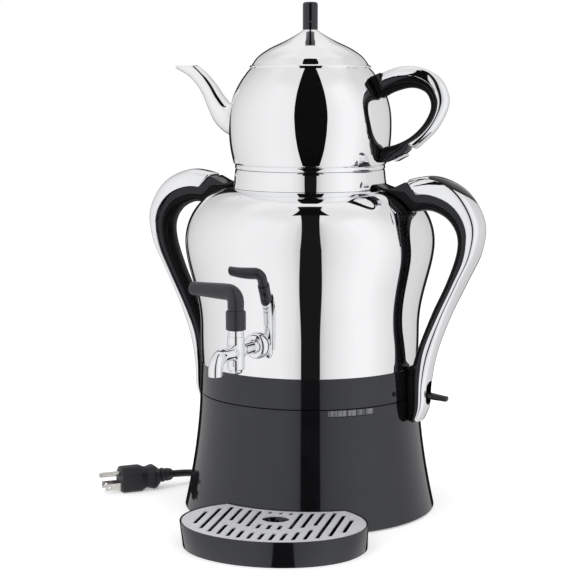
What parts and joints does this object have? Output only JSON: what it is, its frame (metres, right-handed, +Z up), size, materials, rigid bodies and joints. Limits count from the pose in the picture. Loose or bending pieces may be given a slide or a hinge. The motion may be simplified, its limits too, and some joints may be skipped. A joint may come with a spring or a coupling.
{
  "type": "electric samovar",
  "caption": "Electric samovar: swelling polished boiler on a flared black base, teapot on top, two arched handles, lever tap, loose drip tray and mains lead.",
  "frame": {"origin": "on the boiler's axis, at the underside of the foot ring, which is the table surface", "axes": "+Z up along the boiler's axis; the tap points along -Y; the right handle with the switch and the teapot's handle along +X; the left handle and the spout along -X; the mains lead leaves along +Y"},
  "size_m": [0.3694, 0.4284, 0.4688],
  "materials": {
    "gloss_black": "gloss, pigmented black",
    "black_rubber": "satin black flexible plastic or rubber",
    "polished_steel": "mirror polished stainless steel",
    "bright_trim": "bright chrome plate",
    "satin_steel": "satin stainless steel",
    "heater_aluminium": "cast aluminium",
    "brass": "machined brass",
    "nickel_pins": "nickel-plated brass",
    "window_grey": "translucent grey plastic",
    "lamp_amber": "clear lamp plastic",
    "board_green": "circuit board",
    "ceramic_white": "heat-resistant moulding",
    "wire_sleeve": "insulated copper wire"
  },
  "bodies": {
    "boiler": {"foot_ring": "black_rubber", "base_plate": "gloss_black", "base_screws": "satin_steel", "base_housing": "gloss_black", "band_ring": "gloss_black", "indicator_window": "window_grey", "indicator_lamps": "lamp_amber", "lamp_board": "board_green", "terminal_block": "ceramic_white", "internal_wires": "wire_sleeve", "shell_floor": "satin_steel", "tank_studs": "satin_steel", "heater_plate": "heater_aluminium", "heating_element": "satin_steel", "thermostat": "ceramic_white", "thermal_cutout": "ceramic_white", "boiler_shell": "polished_steel", "water_tank": "satin_steel", "boiler_collar": "polished_steel", "handle_right_grip": "gloss_black", "handle_right_cover": "bright_trim", "handle_right_screws": "satin_steel", "handle_left_grip": "gloss_black", "handle_left_cover": "bright_trim", "handle_left_screws": "satin_steel", "switch_body": "gloss_black", "switch_pin": "satin_steel", "tap_body": "bright_trim", "tap_flange": "bright_trim", "tap_washers": "black_rubber", "tap_nut": "satin_steel", "tap_bonnet": "bright_trim", "strain_relief": "black_rubber", "mains_cord": "black_rubber", "cord_coil": "black_rubber", "plug_body": "black_rubber", "plug_blades": "nickel_pins", "plug_ground_pin": "nickel_pins"},
    "water_lid": {"water_lid": "satin_steel"},
    "teapot": {"teapot_body": "polished_steel", "teapot_spout": "polished_steel", "spout_strainer": "satin_steel", "teapot_handle_grip": "gloss_black", "teapot_handle_cover": "bright_trim", "teapot_handle_end_cap": "bright_trim", "teapot_handle_screws": "satin_steel"},
    "teapot_lid": {"teapot_lid": "polished_steel", "lid_knob": "gloss_black", "lid_knob_screw": "satin_steel"},
    "tap_lever": {"tap_plug": "brass", "tap_base_nut": "bright_trim", "tap_grip": "gloss_black"},
    "drip_tray": {"drip_tray": "gloss_black"},
    "drip_grille": {"drip_grille": "satin_steel"},
    "switch_lever": {"switch_lever": "gloss_black"}
  },
  "joints": [
    {"name": "water_lid_lift", "type": "slide", "parent": "boiler", "child": "water_lid", "axis": [0, 0, 1], "range_m": [0, 0.04]},
    {"name": "teapot_lift", "type": "slide", "parent": "water_lid", "child": "teapot", "axis": [0, 0, 1], "range_m": [0, 0.06]},
    {"name": "teapot_lid_lift", "type": "slide", "parent": "teapot", "child": "teapot_lid", "axis": [0, 0, 1], "range_m": [0, 0.06]},
    {"name": "tap_turn", "type": "hinge", "parent": "boiler", "child": "tap_lever", "pos_m": [0, -0.139, 0.1658], "axis": [0, 0, 1], "range_deg": [0, 90]},
    {"name": "drip_tray_slide", "type": "slide", "parent": "boiler", "child": "drip_tray", "axis": [0.2639, -0.9646, 0], "range_m": [0, 0.08]},
    {"name": "drip_grille_lift", "type": "slide", "parent": "drip_tray", "child": "drip_grille", "axis": [0, 0, 1], "range_m": [0, 0.03]},
    {"name": "switch_rock", "type": "hinge", "parent": "boiler", "child": "switch_lever", "pos_m": [0.1109, 0, 0.1151], "axis": [0, -1, 0], "range_deg": [0, 24]}
  ]
}
